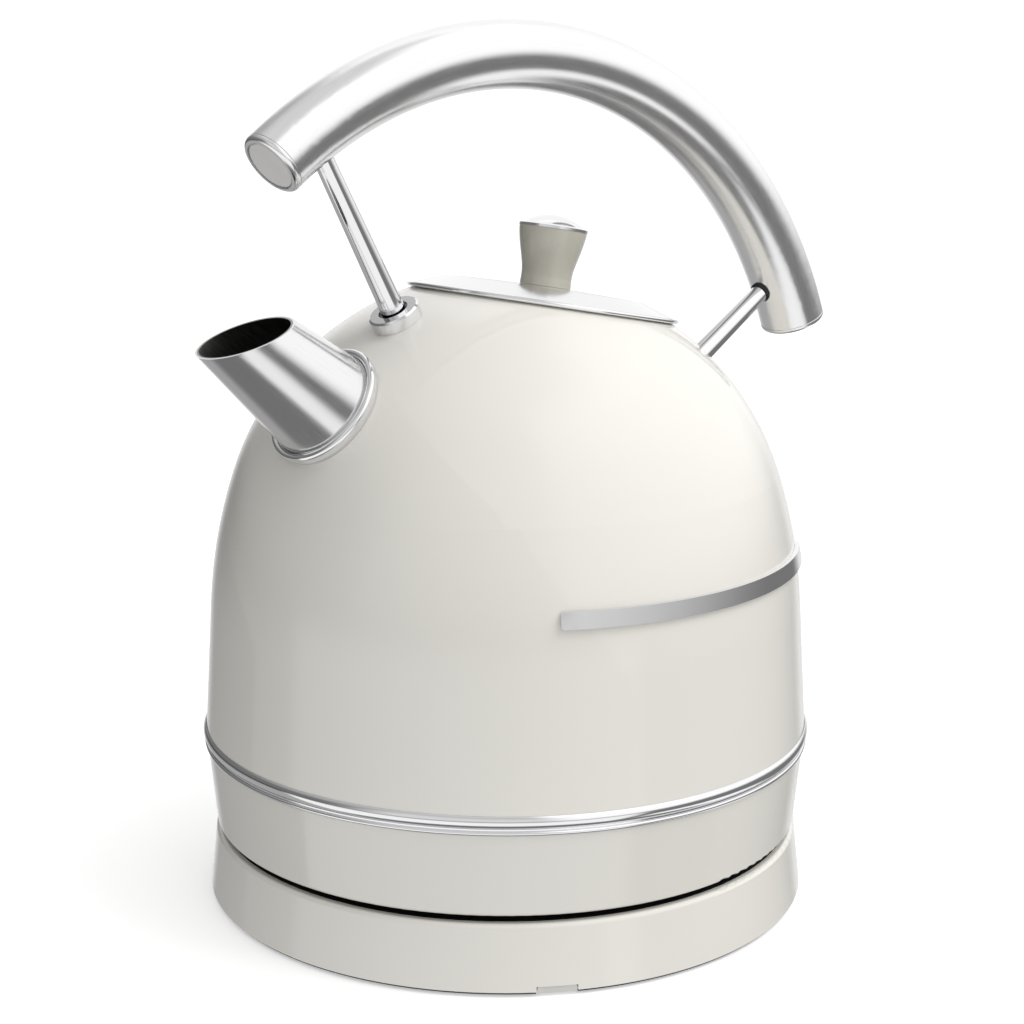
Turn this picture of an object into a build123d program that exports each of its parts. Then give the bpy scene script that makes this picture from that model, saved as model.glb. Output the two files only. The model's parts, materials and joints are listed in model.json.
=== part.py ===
from build123d import *
from math import asin, cos, degrees, hypot, radians, sin, sqrt
import os

# Electric dome kettle on a 360 degree power base, in millimetres.
# +Z is up, the spout points to -X, the origin is the centre of the underside of the power base.
# Tilted pieces (lid, handle posts, spout) stand on axes through the centre of the dome's sphere;
# such an axis is named by its lean in degrees from vertical towards the rear (+X).

# power base
BASE_FOOT_RADIUS = 85.0
BASE_RIM_RADIUS = 83.0
BASE_TOP = 18.9
RIM_INNER = 80.8
DECK_RECESS = 1.4
DECK_THICKNESS = 0.8
BASE_SKIN_BOTTOM = 1.2
BASE_WALL = 2.2
PLATE_BOTTOM = 0.5
PLATE_TOP = 3.4
FOOT_HEIGHT = 1.6
FOOT_RING = (70.0, 76.0)
CORD_NOTCH_ANGLE = 237.5
CORD_NOTCH_WIDTH = 10.8
CORD_NOTCH_TOP = 2.6
BASE_SCREW_RADIUS = 60.0
SHANK_RADIUS = 1.5
HEAD_RADIUS = 3.0
CROSS_SLOT = (3.6, 0.7)
CROSS_DEPTH = 0.8
BASE_INSIDE = BASE_TOP - DECK_RECESS - BASE_WALL
DECK_TOP = BASE_TOP - DECK_RECESS + DECK_THICKNESS

# round connector between the base and the kettle
POST_RADIUS = 14.5
POST_TOP = 27.7
OUTER_GROOVE = (10.0, 12.0)
INNER_GROOVE = (5.0, 7.0)
GROOVE_FLOOR = 19.3
PIN_HOLE_RADIUS = 2.5
CONNECTOR_BOTTOM = 12.8
CONTACT_CLEARANCE = 0.5
SOCKET_RADIUS = 22.0
SOCKET_BOTTOM = 21.4
SOCKET_ROOF = 29.0
SOCKET_TOP = 33.0

# lower part of the kettle
SKIRT_BOTTOM = 20.9
SKIRT_TOP = 43.6
SKIRT_BOTTOM_RADIUS = 82.7
SKIRT_TOP_RADIUS = 84.9
SKIRT_WALL = 1.6
COVER_BOTTOM = 22.2
COVER_THICKNESS = 2.2
COVER_SCREW_RADIUS = 66.0
DRAIN_RADIUS = 34.0
DRAIN_SLOTS = 12
REST_RING = (54.0, 58.0)
REST_GAP = 0.2
TRIM_RADIUS = 86.0
TRIM_INNER = 82.4
TRIM_TOP = 48.8

# dome: a slight cone, a shoulder arc and a sphere
DOME_BOTTOM = 46.0
DOME_BOTTOM_RADIUS = 85.3
SHOULDER_START = (82.9, 84.0)
SPHERE_RADIUS = 80.0
SPHERE_HEIGHT = 94.5
DOME_WALL = 1.2
FLOOR_HEIGHT = 52.0
FLOOR_THICKNESS = 1.0
SPREADER_RADIUS = 62.0
SPREADER_THICKNESS = 3.0
ELEMENT_RADIUS = 3.3
ELEMENT_RING_RADIUS = 48.0
ELEMENT_ARC = 300.0
CONTROL_SIZE = (64.0, 40.0)
CONTROL_HEIGHT = 6.0
CONTROL_TURRET = (17.0, 3.0)
STEAM_TUBE_X = 66.0
STEAM_TUBE_TOP = 127.0
STEAM_TUBE_RADIUS = 4.0
STEAM_TUBE_WALL = 0.8

# spout; distances are measured from the centre of the sphere
SPOUT_LEAN = -51.4
SPOUT_HOLE_RADIUS = 13.6
SPOUT_FOOT_RADIUS = 14.9
SPOUT_FOOT_DISTANCE = 81.5
SPOUT_TAPER = 0.119
SPOUT_WALL = 0.9
MOUTH_DISTANCE = 112.3
MOUTH_LEAN = -17.2
COLLAR_TOP = 81.9
COLLAR_RADIUS = 16.9
COLLAR_FOOT_RADIUS = 16.3
FILTER_RADIUS = 13.2
FILTER_BOTTOM = 75.2
FILTER_RING = 1.6
MESH_PITCH = 2.4

# handle
HANDLE_CENTRE = Vector(-0.2, 0, 104.9)
HANDLE_RADIUS = 128.1
HANDLE_FRONT = -36.6
HANDLE_REAR = 68.6
HANDLE_FRONT_RADIUS = 8.8
HANDLE_REAR_RADIUS = 9.9
HANDLE_WALL = 1.3
HANDLE_STATIONS = 8
FRONT_CAP_LENGTH = 1.9
REAR_CAP_LENGTH = 1.6
CAP_RIM = 1.6
CAP_RECESS = 0.9
DISC_GAP = 0.4
FRONT_POST_LEAN = -28.5
REAR_POST_LEAN = 57.8
POST_FOOT_RADIUS = 3.3
POST_HEAD_RADIUS = 2.75
POST_FOOT = 70.5
BOSS_RADIUS = 7.0
BOSS_BORE = 4.1
BOSS_TOP = 83.2
GASKET_HEIGHT = 0.5
GASKET_MARGIN = 0.5
WASHER_TOP = 78.3
WASHER_RADIUS = 6.8
WASHER_THICKNESS = 1.2
NUT_RADIUS = 5.8
NUT_HEIGHT = 4.5

# lid; heights are measured from the centre of the sphere
LID_LEAN = 11.0
LID_RIM_RADIUS = 37.6
LID_BEAD_RADIUS = 0.65
OPENING_RADIUS = 34.3
NECK_WALL = 1.2
NECK_BOTTOM = 60.5
LID_TOP_RADIUS = 27.5
LID_SHOULDER = 75.6
LID_CROWN = 76.3
LID_WALL = 0.8
PLUG_RADIUS = 33.4
PLUG_BOTTOM = 61.5
PLUG_TOP = 71.6
SEAL_BAND = (64.0, 67.0)
SCREW_RADIUS = 2.0
SCREW_HOLE = 2.1
KNOB_TOP = 92.3
KNOB_FOOT_RADIUS = 7.2
KNOB_TOP_RADIUS = 9.5
CAP_RISE = 3.9

# plain raised bar on the side of the dome
BADGE_START = 238.0
BADGE_SPAN = 76.0
BADGE_HEIGHTS = (96.0, 100.4)
BADGE_THICKNESS = 1.3

# switch and lamp at the rear of the skirt
SWITCH_PIVOT = Vector(74.0, 0, 33.0)
SWITCH_WIDTH = 18.0
SWITCH_LEAN = 8.0
SLOT_WIDTH = 21.0
SLOT_HEIGHT = 13.0
BEZEL_WALL = 1.7
HINGE_PIN_RADIUS = 1.5
LAMP_OFFSET = 22.0
LAMP_RADIUS = 2.6

DOME_CENTRE = Vector(0, 0, SPHERE_HEIGHT)
HAIRLINE = 0.03


def lean_direction(lean):
    """Unit vector in the plane of symmetry, lean degrees from vertical towards +X."""
    return Vector(sin(radians(lean)), 0, cos(radians(lean)))


def lean_axis(lean):
    """Axis through the sphere's centre."""
    return Axis(DOME_CENTRE, lean_direction(lean))


def lean_section(lean):
    """Plane of symmetry turned so that local Y is the leaning axis and local X the radius."""
    return Plane(origin=DOME_CENTRE, x_dir=(cos(radians(lean)), 0, -sin(radians(lean))), z_dir=(0, -1, 0))


def lean_plane(lean, distance, origin=DOME_CENTRE):
    """Plane square to a leaning direction, at a distance from an origin."""
    direction = lean_direction(lean)
    return Plane(origin=origin + direction * distance, x_dir=(0, 1, 0), z_dir=direction)


def on_sphere(radius):
    """Height on a leaning axis at which the outer sphere has the given radius."""
    return sqrt(SPHERE_RADIUS**2 - radius**2)


def handle_distance(lean):
    """Distance along a leaning axis from the sphere's centre to the middle line of the handle."""
    offset = HANDLE_CENTRE - DOME_CENTRE
    along = offset.dot(lean_direction(lean))
    return along + sqrt(HANDLE_RADIUS**2 - offset.length**2 + along**2)


def handle_radius(lean):
    """Outer radius of the handle tube, which widens evenly from its front to its rear end."""
    share = (lean - HANDLE_FRONT) / (HANDLE_REAR - HANDLE_FRONT)
    return HANDLE_FRONT_RADIUS + (HANDLE_REAR_RADIUS - HANDLE_FRONT_RADIUS) * share


def handle_section(lean):
    """Plane square to the handle's arc; local X points away from the arc's centre, Z along the arc."""
    outward = lean_direction(lean)
    return Plane(origin=HANDLE_CENTRE + outward * HANDLE_RADIUS, x_dir=outward, z_dir=lean_direction(lean + 90))


def handle_solid(growth):
    """The handle's outer shape, grown by an amount: circles along its arc, joined smoothly."""
    with BuildPart() as body:
        for station in range(HANDLE_STATIONS + 1):
            lean = HANDLE_FRONT + (HANDLE_REAR - HANDLE_FRONT) * station / HANDLE_STATIONS
            with BuildSketch(handle_section(lean)):
                Circle(handle_radius(lean) + growth)
        loft()
    return body.part


def save(part, label):
    part.label = label
    export_step(part, f"parts/{label}.step")


def shoulder_arc():
    """Centre and radius of the arc that is tangent to the cone below it and to the sphere above."""
    slope = (DOME_BOTTOM_RADIUS - SHOULDER_START[0]) / (SHOULDER_START[1] - DOME_BOTTOM)
    length = hypot(1, slope)
    normal = (1 / length, slope / length)
    offset = (SHOULDER_START[0], SHOULDER_START[1] - SPHERE_HEIGHT)
    reach = offset[0] * normal[0] + offset[1] * normal[1]
    radius = (offset[0] ** 2 + offset[1] ** 2 - SPHERE_RADIUS**2) / (2 * (reach - SPHERE_RADIUS))
    centre = (SHOULDER_START[0] - radius * normal[0], SHOULDER_START[1] - radius * normal[1])
    return centre, radius, normal


SHOULDER_CENTRE, SHOULDER_RADIUS, CONE_NORMAL = shoulder_arc()


def dome_outline(inset, floor):
    """Closed half section of the dome, inset from its outer skin, from the height floor upwards."""
    slope = CONE_NORMAL[1] / CONE_NORMAL[0]
    foot_radius = DOME_BOTTOM_RADIUS - (floor - DOME_BOTTOM) * slope - inset / CONE_NORMAL[0]
    start = (SHOULDER_START[0] - inset * CONE_NORMAL[0], SHOULDER_START[1] - inset * CONE_NORMAL[1])
    rise = SPHERE_HEIGHT - SHOULDER_CENTRE[1]
    lean_start = degrees(asin(CONE_NORMAL[1]))
    lean_end = degrees(asin(rise / (SHOULDER_RADIUS - SPHERE_RADIUS)))
    Line((foot_radius, floor), start)
    CenterArc(SHOULDER_CENTRE, SHOULDER_RADIUS - inset, lean_start, lean_end - lean_start)
    CenterArc((0, SPHERE_HEIGHT), SPHERE_RADIUS - inset, lean_end, 90 - lean_end)
    Line((0, SPHERE_HEIGHT + SPHERE_RADIUS - inset), (0, floor))
    Line((0, floor), (foot_radius, floor))


def skin_radius(height):
    """Outer radius of the dome on its shoulder arc."""
    return SHOULDER_CENTRE[0] + sqrt(SHOULDER_RADIUS**2 - (height - SHOULDER_CENTRE[1]) ** 2)


os.makedirs("parts", exist_ok=True)

# ---------------------------------------------------------------- power base

cord_direction = Vector(cos(radians(CORD_NOTCH_ANGLE)), sin(radians(CORD_NOTCH_ANGLE)), 0)


def cord_plane(radius):
    """Upright plane across the cord's way out, at a radius from the middle of the base."""
    return Plane(origin=cord_direction * radius, x_dir=(0, 0, 1), z_dir=cord_direction)


base_screw_spots = PolarLocations(BASE_SCREW_RADIUS, 3, start_angle=0)

with BuildPart() as base_shell:
    with BuildSketch(Plane.XZ):
        with BuildLine():
            Polyline(
                (BASE_FOOT_RADIUS, BASE_SKIN_BOTTOM),
                (BASE_RIM_RADIUS, BASE_TOP),
                (RIM_INNER, BASE_TOP),
                (RIM_INNER, BASE_TOP - DECK_RECESS),
                (POST_RADIUS, BASE_TOP - DECK_RECESS),
                (POST_RADIUS, BASE_INSIDE),
                (BASE_RIM_RADIUS - BASE_WALL, BASE_INSIDE),
                (BASE_FOOT_RADIUS - BASE_WALL, BASE_SKIN_BOTTOM),
                close=True,
            )
        make_face()
    revolve(axis=Axis.Z)
    top_rim = base_shell.edges().filter_by(GeomType.CIRCLE).group_by(Axis.Z)[-1].sort_by(SortBy.RADIUS)[-1]
    fillet(top_rim, 1.2)
    # pillars that take the screws of the bottom plate
    with BuildSketch(Plane.XY.offset(PLATE_TOP)):
        with base_screw_spots:
            Circle(SHANK_RADIUS + 2.1)
            Circle(SHANK_RADIUS, mode=Mode.SUBTRACT)
    extrude(amount=BASE_INSIDE - PLATE_TOP)
    # notch in the bottom edge for the cord's outlet
    with BuildSketch(cord_plane(BASE_FOOT_RADIUS - 6)):
        Rectangle(2 * CORD_NOTCH_TOP, CORD_NOTCH_WIDTH)
    extrude(amount=10, mode=Mode.SUBTRACT)
save(base_shell.part, "base_shell")

with BuildPart() as base_deck:
    # plastic disc in the recess of the top, which the kettle stands on
    with BuildSketch(Plane.XY.offset(BASE_TOP - DECK_RECESS)):
        Circle(RIM_INNER - 0.2)
        Circle(POST_RADIUS + 0.2, mode=Mode.SUBTRACT)
    extrude(amount=DECK_THICKNESS)
save(base_deck.part, "base_deck")

with BuildPart() as base_plate:
    with BuildSketch(Plane.XY.offset(PLATE_BOTTOM)):
        Circle(BASE_FOOT_RADIUS - 0.7)
    extrude(amount=BASE_SKIN_BOTTOM - PLATE_BOTTOM)
    with BuildSketch(Plane.XY.offset(BASE_SKIN_BOTTOM)):
        Circle(BASE_FOOT_RADIUS - BASE_WALL - 0.6)
    extrude(amount=PLATE_TOP - BASE_SKIN_BOTTOM)
    # groove of the foot ring
    with BuildSketch(Plane.XY.offset(PLATE_BOTTOM)):
        Circle(FOOT_RING[1])
        Circle(FOOT_RING[0], mode=Mode.SUBTRACT)
    extrude(amount=FOOT_HEIGHT - PLATE_BOTTOM, mode=Mode.SUBTRACT)
    # counterbored screw holes
    with BuildSketch(Plane.XY.offset(PLATE_BOTTOM)):
        with base_screw_spots:
            Circle(HEAD_RADIUS + 0.4)
    extrude(amount=1.4, mode=Mode.SUBTRACT)
    with BuildSketch(Plane.XY.offset(PLATE_BOTTOM)):
        with base_screw_spots:
            Circle(SHANK_RADIUS + 0.1)
    extrude(amount=PLATE_TOP, mode=Mode.SUBTRACT)
    # the cord's outlet breaks the edge of the plate
    with BuildSketch(cord_plane(BASE_FOOT_RADIUS - 8)):
        Rectangle(4 * PLATE_TOP, CORD_NOTCH_WIDTH)
    extrude(amount=12, mode=Mode.SUBTRACT)
save(base_plate.part, "base_plate")

with BuildPart() as foot_ring:
    with BuildSketch(Plane.XY):
        Circle(FOOT_RING[1])
        Circle(FOOT_RING[0], mode=Mode.SUBTRACT)
    extrude(amount=FOOT_HEIGHT)
    fillet(foot_ring.edges().group_by(Axis.Z)[0], 0.4)
save(foot_ring.part, "foot_ring")

with BuildPart() as cord_gland:
    gland_width = CORD_NOTCH_WIDTH - 0.4
    # tongue that fills the notch in the rim
    with BuildSketch(cord_plane(BASE_FOOT_RADIUS - 8)):
        with Locations((CORD_NOTCH_TOP / 2 + 0.35, 0)):
            RectangleRounded(CORD_NOTCH_TOP - 0.8, gland_width, 0.6)
    extrude(amount=7.6)
    # riser behind the rim
    with BuildSketch(cord_plane(BASE_FOOT_RADIUS - 8)):
        with Locations((6.6, 0)):
            Rectangle(11.4, gland_width)
    extrude(amount=2)
    # clamp block with the channel for a flat cord
    with BuildSketch(cord_plane(BASE_FOOT_RADIUS - 19)):
        with Locations((8.0, 0)):
            Rectangle(9.0, gland_width)
            SlotOverall(6.4, 3.6, rotation=90, mode=Mode.SUBTRACT)
    extrude(amount=11)
save(cord_gland.part, "cord_gland")

with BuildPart() as base_screws:
    with BuildSketch(Plane.XY.offset(0.6)):
        with base_screw_spots:
            Circle(HEAD_RADIUS)
    extrude(amount=1.3)
    with BuildSketch(Plane.XY.offset(1.9)):
        with base_screw_spots:
            Circle(SHANK_RADIUS)
    extrude(amount=8.5)
    # cross slots in the heads
    with BuildSketch(Plane.XY.offset(0.6)):
        with base_screw_spots:
            Rectangle(CROSS_SLOT[0], CROSS_SLOT[1])
            Rectangle(CROSS_SLOT[1], CROSS_SLOT[0])
    extrude(amount=CROSS_DEPTH, mode=Mode.SUBTRACT)
save(base_screws.part, "base_screws")

with BuildPart() as base_connector:
    with BuildSketch(Plane.XZ):
        with BuildLine():
            Polyline(
                (PIN_HOLE_RADIUS, CONNECTOR_BOTTOM),
                (POST_RADIUS + 6, CONNECTOR_BOTTOM),
                (POST_RADIUS + 6, BASE_INSIDE),
                (POST_RADIUS, BASE_INSIDE),
                (POST_RADIUS, POST_TOP),
                (OUTER_GROOVE[1], POST_TOP),
                (OUTER_GROOVE[1], GROOVE_FLOOR),
                (OUTER_GROOVE[0], GROOVE_FLOOR),
                (OUTER_GROOVE[0], POST_TOP),
                (INNER_GROOVE[1], POST_TOP),
                (INNER_GROOVE[1], GROOVE_FLOOR),
                (INNER_GROOVE[0], GROOVE_FLOOR),
                (INNER_GROOVE[0], POST_TOP),
                (PIN_HOLE_RADIUS, POST_TOP),
                close=True,
            )
        make_face()
    revolve(axis=Axis.Z)
    outer_lip = base_connector.edges().filter_by(GeomType.CIRCLE).group_by(Axis.Z)[-1].sort_by(SortBy.RADIUS)[-1]
    fillet(outer_lip, 0.8)
save(base_connector.part, "base_connector")

for label, groove in (("outer_contact_ring", OUTER_GROOVE), ("inner_contact_ring", INNER_GROOVE)):
    with BuildPart() as contact_ring:
        with BuildSketch(Plane.XY.offset(GROOVE_FLOOR)):
            Circle(groove[1])
            Circle(groove[1] - 0.3, mode=Mode.SUBTRACT)
        extrude(amount=5)
    save(contact_ring.part, label)

with BuildPart() as earth_contact:
    with BuildSketch(Plane.XY.offset(CONNECTOR_BOTTOM)):
        Circle(PIN_HOLE_RADIUS)
    extrude(amount=3)
save(earth_contact.part, "earth_contact")

# ---------------------------------------------------------------- connector socket of the kettle

with BuildPart() as kettle_socket:
    cavity = POST_RADIUS + CONTACT_CLEARANCE
    with BuildSketch(Plane.XZ):
        with BuildLine():
            Polyline(
                (0, SOCKET_TOP),
                (SOCKET_RADIUS, SOCKET_TOP),
                (SOCKET_RADIUS, SOCKET_BOTTOM),
                (cavity, SOCKET_BOTTOM),
                (cavity, SOCKET_ROOF),
                (0, SOCKET_ROOF),
                close=True,
            )
        make_face()
    revolve(axis=Axis.Z)
    chamfer(kettle_socket.edges().filter_by(GeomType.CIRCLE).group_by(Axis.Z)[0], 0.8)
save(kettle_socket.part, "kettle_socket")

with BuildPart() as socket_contacts:
    with BuildSketch(Plane.XY.offset(GROOVE_FLOOR + 2)):
        for groove in (OUTER_GROOVE, INNER_GROOVE):
            Circle(groove[1] - 0.3 - CONTACT_CLEARANCE)
            Circle(groove[0] + CONTACT_CLEARANCE, mode=Mode.SUBTRACT)
    extrude(amount=SOCKET_ROOF - GROOVE_FLOOR - 2)
save(socket_contacts.part, "socket_contacts")

with BuildPart() as earth_pin:
    with BuildSketch(Plane.XY.offset(GROOVE_FLOOR + 1)):
        Circle(PIN_HOLE_RADIUS - CONTACT_CLEARANCE)
    extrude(amount=SOCKET_ROOF - GROOVE_FLOOR - 1)
    fillet(earth_pin.edges().group_by(Axis.Z)[0], 0.8)
save(earth_pin.part, "earth_pin")

# ---------------------------------------------------------------- kettle body

cover_screw_spots = PolarLocations(COVER_SCREW_RADIUS, 3, start_angle=60)
slot_plane = Plane(origin=(SKIRT_BOTTOM_RADIUS - 12, 0, SWITCH_PIVOT.Z), x_dir=(0, 1, 0), z_dir=(1, 0, 0))

with BuildPart() as lower_skirt:
    with BuildSketch(Plane.XZ):
        with BuildLine():
            Polyline(
                (SKIRT_BOTTOM_RADIUS, SKIRT_BOTTOM),
                (SKIRT_TOP_RADIUS, SKIRT_TOP),
                (SKIRT_TOP_RADIUS - SKIRT_WALL, SKIRT_TOP),
                (SKIRT_BOTTOM_RADIUS - SKIRT_WALL, SKIRT_BOTTOM),
                close=True,
            )
        make_face()
    revolve(axis=Axis.Z)
    fillet(lower_skirt.edges().group_by(Axis.Z)[0].sort_by(SortBy.RADIUS)[-1], 1.0)
    with BuildSketch(slot_plane):
        RectangleRounded(SLOT_WIDTH + 4, SLOT_HEIGHT + 4, 4)
    extrude(amount=20, mode=Mode.SUBTRACT)
    with BuildSketch(slot_plane):
        with Locations((LAMP_OFFSET, 0)):
            Circle(LAMP_RADIUS + HAIRLINE)
    extrude(amount=20, mode=Mode.SUBTRACT)
save(lower_skirt.part, "lower_skirt")

with BuildPart() as underside_cover:
    with BuildSketch(Plane.XY.offset(COVER_BOTTOM)):
        Circle(SKIRT_BOTTOM_RADIUS - SKIRT_WALL)
        Circle(SOCKET_RADIUS + 0.4, mode=Mode.SUBTRACT)
    extrude(amount=COVER_THICKNESS)
    # the ring that the kettle stands on
    with BuildSketch(Plane.XY.offset(DECK_TOP + REST_GAP)):
        Circle(REST_RING[1])
        Circle(REST_RING[0], mode=Mode.SUBTRACT)
    extrude(amount=COVER_BOTTOM - DECK_TOP - REST_GAP)
    with BuildSketch(Plane.XY.offset(COVER_BOTTOM)):
        with cover_screw_spots:
            Circle(SHANK_RADIUS + 0.1)
    extrude(amount=COVER_THICKNESS, mode=Mode.SUBTRACT)
    # drain slots
    with BuildSketch(Plane.XY.offset(COVER_BOTTOM)):
        with PolarLocations(DRAIN_RADIUS, DRAIN_SLOTS):
            SlotOverall(8, 2, rotation=90)
    extrude(amount=COVER_THICKNESS, mode=Mode.SUBTRACT)
save(underside_cover.part, "underside_cover")

with BuildPart() as cover_screws:
    with BuildSketch(Plane.XY.offset(COVER_BOTTOM - 1.4)):
        with cover_screw_spots:
            Circle(HEAD_RADIUS)
    extrude(amount=1.4)
    with BuildSketch(Plane.XY.offset(COVER_BOTTOM)):
        with cover_screw_spots:
            Circle(SHANK_RADIUS)
    extrude(amount=7)
    with BuildSketch(Plane.XY.offset(COVER_BOTTOM - 1.4)):
        with cover_screw_spots:
            Rectangle(CROSS_SLOT[0], CROSS_SLOT[1])
            Rectangle(CROSS_SLOT[1], CROSS_SLOT[0])
    extrude(amount=CROSS_DEPTH, mode=Mode.SUBTRACT)
save(cover_screws.part, "cover_screws")

with BuildPart() as trim_ring:
    with BuildSketch(Plane.XZ):
        with BuildLine():
            # thin lower band, groove, broad rounded upper band
            lower = Line((TRIM_INNER, SKIRT_TOP), (TRIM_RADIUS - 0.9, SKIRT_TOP))
            band = ThreePointArc(
                lower @ 1,
                (TRIM_RADIUS - 0.3, SKIRT_TOP + 0.65),
                (TRIM_RADIUS - 0.9, SKIRT_TOP + 1.3),
            )
            groove = Line(band @ 1, (TRIM_RADIUS - 0.9, SKIRT_TOP + 1.7))
            broad = ThreePointArc(
                groove @ 1,
                (TRIM_RADIUS, SKIRT_TOP + 3.2),
                (DOME_BOTTOM_RADIUS - 0.08, TRIM_TOP),
            )
            lip = Line(broad @ 1, (DOME_BOTTOM_RADIUS + HAIRLINE, DOME_BOTTOM))
            ledge = Line(lip @ 1, (TRIM_INNER, DOME_BOTTOM))
            Line(ledge @ 1, lower @ 0)
        make_face()
    revolve(axis=Axis.Z)
save(trim_ring.part, "trim_ring")

with BuildPart() as dome_shell:
    with BuildSketch(Plane.XZ):
        with BuildLine():
            dome_outline(0, DOME_BOTTOM)
        make_face()
    revolve(axis=Axis.Z)
    with BuildSketch(Plane.XZ):
        with BuildLine():
            dome_outline(DOME_WALL, DOME_BOTTOM)
        make_face()
    revolve(axis=Axis.Z, mode=Mode.SUBTRACT)
    for lean, radius in (
        (LID_LEAN, OPENING_RADIUS + NECK_WALL),
        (SPOUT_LEAN, SPOUT_HOLE_RADIUS),
        (FRONT_POST_LEAN, POST_FOOT_RADIUS + HAIRLINE),
        (REAR_POST_LEAN, POST_FOOT_RADIUS + HAIRLINE),
    ):
        with BuildSketch(lean_plane(lean, SPHERE_RADIUS - 20)):
            Circle(radius)
        extrude(amount=30, mode=Mode.SUBTRACT)
save(dome_shell.part, "dome_shell")

with BuildPart() as opening_neck:
    with BuildSketch(lean_section(LID_LEAN)):
        with BuildLine():
            Polyline(
                (OPENING_RADIUS, NECK_BOTTOM),
                (OPENING_RADIUS + NECK_WALL - HAIRLINE, NECK_BOTTOM),
                (OPENING_RADIUS + NECK_WALL - HAIRLINE, on_sphere(OPENING_RADIUS + NECK_WALL)),
                (OPENING_RADIUS, on_sphere(OPENING_RADIUS + NECK_WALL)),
                close=True,
            )
        make_face()
    revolve(axis=lean_axis(LID_LEAN))
save(opening_neck.part, "opening_neck")

with BuildPart() as vessel_floor:
    floor_radius = DOME_BOTTOM_RADIUS - DOME_WALL - 0.5
    with BuildSketch(Plane.XY.offset(FLOOR_HEIGHT - FLOOR_THICKNESS)):
        Circle(floor_radius)
    extrude(amount=FLOOR_THICKNESS)
    # turned-down flange inside the dome's bottom edge
    with BuildSketch(Plane.XY.offset(DOME_BOTTOM)):
        Circle(floor_radius)
        Circle(floor_radius - FLOOR_THICKNESS, mode=Mode.SUBTRACT)
    extrude(amount=FLOOR_HEIGHT - DOME_BOTTOM)
    fillet(vessel_floor.edges().group_by(Axis.Z)[-1], 0.9)
save(vessel_floor.part, "vessel_floor")

with BuildPart() as heat_spreader:
    with BuildSketch(Plane.XY.offset(FLOOR_HEIGHT - FLOOR_THICKNESS)):
        Circle(SPREADER_RADIUS)
    extrude(amount=-SPREADER_THICKNESS)
save(heat_spreader.part, "heat_spreader")

with BuildPart() as heating_element:
    element_height = FLOOR_HEIGHT - FLOOR_THICKNESS - SPREADER_THICKNESS - ELEMENT_RADIUS
    with BuildSketch(Plane(origin=(ELEMENT_RING_RADIUS, 0, element_height), x_dir=(1, 0, 0), z_dir=(0, 1, 0))):
        Circle(ELEMENT_RADIUS)
    revolve(axis=Axis.Z, revolution_arc=ELEMENT_ARC)
save(heating_element.part, "heating_element")

with BuildPart() as control_unit:
    with BuildSketch(Plane.XY.offset(SOCKET_TOP + 0.4)):
        RectangleRounded(CONTROL_SIZE[0], CONTROL_SIZE[1], 6)
    extrude(amount=CONTROL_HEIGHT)
    with BuildSketch(Plane.XY.offset(SOCKET_TOP + 0.4 + CONTROL_HEIGHT)):
        Circle(CONTROL_TURRET[0])
    extrude(amount=CONTROL_TURRET[1])
save(control_unit.part, "control_unit")

with BuildPart() as bimetal_discs:
    with BuildSketch(Plane.XY.offset(SOCKET_TOP + 0.4 + CONTROL_HEIGHT + CONTROL_TURRET[1])):
        with Locations((-9, 0), (9, 0)):
            Circle(6.5)
    extrude(amount=0.6)
save(bimetal_discs.part, "bimetal_discs")

with BuildPart() as steam_tube:
    with BuildSketch(Plane.XY.offset(FLOOR_HEIGHT)):
        with Locations((STEAM_TUBE_X, 0)):
            Circle(STEAM_TUBE_RADIUS)
            Circle(STEAM_TUBE_RADIUS - STEAM_TUBE_WALL, mode=Mode.SUBTRACT)
    extrude(amount=STEAM_TUBE_TOP - FLOOR_HEIGHT)
save(steam_tube.part, "steam_tube")

# ---------------------------------------------------------------- spout


def spout_radius(distance):
    """Outer radius of the conical spout at a distance from the sphere's centre."""
    return SPOUT_FOOT_RADIUS - SPOUT_TAPER * (distance - SPOUT_FOOT_DISTANCE)


with BuildPart() as spout_tube:
    spout_foot = on_sphere(SPOUT_FOOT_RADIUS - SPOUT_WALL) + HAIRLINE
    spout_end = MOUTH_DISTANCE + 12
    with BuildSketch(lean_section(SPOUT_LEAN)):
        with BuildLine():
            Polyline(
                (spout_radius(spout_foot), spout_foot),
                (spout_radius(spout_end), spout_end),
                (spout_radius(spout_end) - SPOUT_WALL, spout_end),
                (spout_radius(spout_foot) - SPOUT_WALL, spout_foot),
                close=True,
            )
        make_face()
    revolve(axis=lean_axis(SPOUT_LEAN))
    mouth_centre = DOME_CENTRE + lean_direction(SPOUT_LEAN) * MOUTH_DISTANCE
    split(bisect_by=lean_plane(MOUTH_LEAN, 0, mouth_centre), keep=Keep.BOTTOM)
save(spout_tube.part, "spout_tube")

with BuildPart() as spout_collar:
    collar_foot = on_sphere(SPOUT_FOOT_RADIUS) + HAIRLINE
    with BuildSketch(lean_section(SPOUT_LEAN)):
        with BuildLine():
            # round bead between the spout and the dome
            inside = Line(
                (spout_radius(collar_foot) + 2 * HAIRLINE, collar_foot),
                (spout_radius(COLLAR_TOP - 0.6) + 2 * HAIRLINE, COLLAR_TOP - 0.6),
            )
            crown = ThreePointArc(
                inside @ 1,
                (SPOUT_FOOT_RADIUS + 0.9, COLLAR_TOP),
                (COLLAR_RADIUS, COLLAR_TOP - 1.6),
            )
            side = ThreePointArc(
                crown @ 1,
                (COLLAR_RADIUS - 0.05, COLLAR_TOP - 2.4),
                (COLLAR_FOOT_RADIUS, on_sphere(COLLAR_FOOT_RADIUS) + HAIRLINE),
            )
            Line(side @ 1, inside @ 0)
        make_face()
    revolve(axis=lean_axis(SPOUT_LEAN))
save(spout_collar.part, "spout_collar")

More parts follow.
